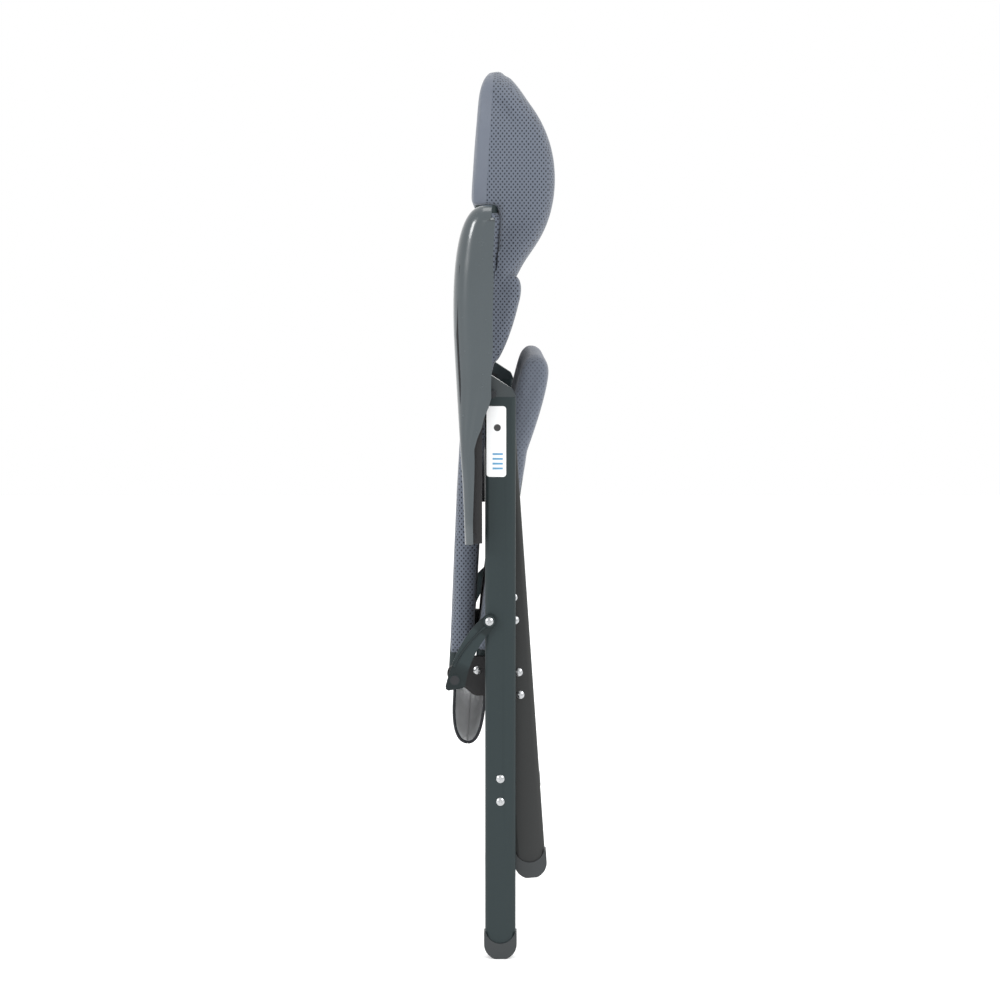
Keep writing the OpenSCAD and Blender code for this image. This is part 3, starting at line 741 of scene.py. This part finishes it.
head = pad_blank("headrest_cushion", head_outline(), 0.0015, 0.030, head_corners,
                 lambda x, z: min(max((x - head_seam(z)) / 0.035, 0.05), 1.0))
plump(head, 0.005, 0.007, lambda p: 0.8 if abs(p.x - head_seam(p.z)) < 0.005 else 0.10, 5.0)
tuck(head, 0.0016, 0.0035, [lambda p: p.x - head_seam(p.z), lambda p: p.x - head_seam(p.z) - 0.016])
mark_cloth(head, lambda p: head_seam(p.z) - p.x)
finish_pad(head, "headrest_pad", "backrest")


# ---------------------------------------------------------------------------
# Hinge cloth: the upholstery carries on from the backrest, hangs in a loop
# under the hinge and joins the seat. Its edges are bound with dark tape. It
# is cut in two at the bottom of the loop.
# ---------------------------------------------------------------------------
def lining():
    cloth = Finish("lining_cloth")
    where = cloth.place()
    thread = cloth.noise(where, 1300, 2)
    cloudy = cloth.noise(where, 9, 3)
    cloth.put(Base_Color=cloth.blend(cloudy * 0.6 + thread * 0.4, (0.50, 0.51, 0.52), (0.66, 0.67, 0.68)))
    cloth.put(Roughness=0.75 + 0.1 * thread)
    cloth.put(Normal=cloth.bump(thread + cloudy * 0.6, 0.30, 0.0006))
    cloth.put(Sheen_Weight=0.2, Subsurface_Weight=0.6, Subsurface_Scale=0.008, Subsurface_Radius=(1.0, 1.0, 1.0))
    return cloth.material


def binding_tape():
    tape = Finish("binding_tape")
    where = tape.place()
    rib = tape.node("Math", {"operation": "SINE"}, {0: tape.node("SeparateXYZ", {}, {"Vector": where}, "Z") * 3600.0})
    thread = tape.noise(where, 1200, 2)
    tape.put(Base_Color=tape.blend(thread, (0.010, 0.011, 0.014), (0.028, 0.030, 0.036)))
    tape.put(Roughness=0.8 + 0.1 * thread)
    tape.put(Normal=tape.bump(rib * 0.3 + thread, 0.4, 0.0004))
    return tape.material


LINING = lining()
TAPE = binding_tape()
LOOP_HALF = 0.2215
LOOP_BOTTOM = (-0.0440, 0.2715)
rear_half = [(-0.0610, 0.3950), (-0.0605, 0.370), (-0.0612, 0.335)]
rear_half += bend_curve((-0.0612, 0.335), (-0.0660, 0.273), LOOP_BOTTOM, 14)[1:]
seat_half = [LOOP_BOTTOM] + bend_curve(LOOP_BOTTOM, (-0.0260, 0.270), (-0.0215, 0.325), 14)[1:]
seat_half += [(-0.0190, 0.362), (-0.0150, 0.3920)]


def cloth_strip(name, path, thick, sag):
    """A sheet of cloth across the chair that follows a path in X and Z."""
    columns = 41
    points, faces = [], []
    for layer in (0, 1):
        for i, (x, z) in enumerate(path):
            x0, z0 = path[max(i - 1, 0)]
            x1, z1 = path[min(i + 1, len(path) - 1)]
            size = math.hypot(x1 - x0, z1 - z0)
            out = ((z1 - z0) / size, -(x1 - x0) / size)
            for k in range(columns):
                share = -1 + 2 * k / (columns - 1)
                wave = sag * math.sin(5 * math.pi * share) * math.sin(math.pi * i / (len(path) - 1))
                push = wave + (layer - 0.5) * thick
                points.append((x + out[0] * push, share * LOOP_HALF, z + out[1] * push))
    rows, size = len(path), len(path) * columns
    for i in range(rows - 1):
        for k in range(columns - 1):
            a = i * columns + k
            quad = (a, a + 1, a + columns + 1, a + columns)
            faces.append(quad)
            faces.append(tuple(size + v for v in reversed(quad)))
    rim = [k for k in range(columns)] + [i * columns + columns - 1 for i in range(1, rows)]
    rim += [(rows - 1) * columns + k for k in range(columns - 2, -1, -1)] + [i * columns for i in range(rows - 2, 0, -1)]
    for a, b in zip(rim, rim[1:] + rim[:1]):
        faces.append((a, b, size + b, size + a))
    return piece_from(name, points, faces, LINING)


top_rear = (rear_half[0][0], 0, rear_half[0][1])
top_seat = (seat_half[-1][0], 0, seat_half[-1][1])
bottom = (LOOP_BOTTOM[0], 0, LOOP_BOTTOM[1])
LOOP_HALVES = (
    ("rear", rear_half, ("hinge_pins", "backrest", bottom, top_rear)),
    ("seat", list(reversed(seat_half)), ("seat", "hinge_pins", top_seat, bottom)),
)
for name, path, (first, second, start, end) in LOOP_HALVES:
    strip = cloth_strip(f"hinge_cloth_{name}", path, 0.0016, 0.0012)
    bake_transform(strip)
    for side, sign in SIDES.items():
        edge = [(x, sign * (LOOP_HALF + 0.001), z) for x, z in path]
        tape = round_rod(f"hinge_cloth_binding_{name}_{side}", edge, 0.0021, TAPE)
        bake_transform(tape)
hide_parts("fabric_loop")
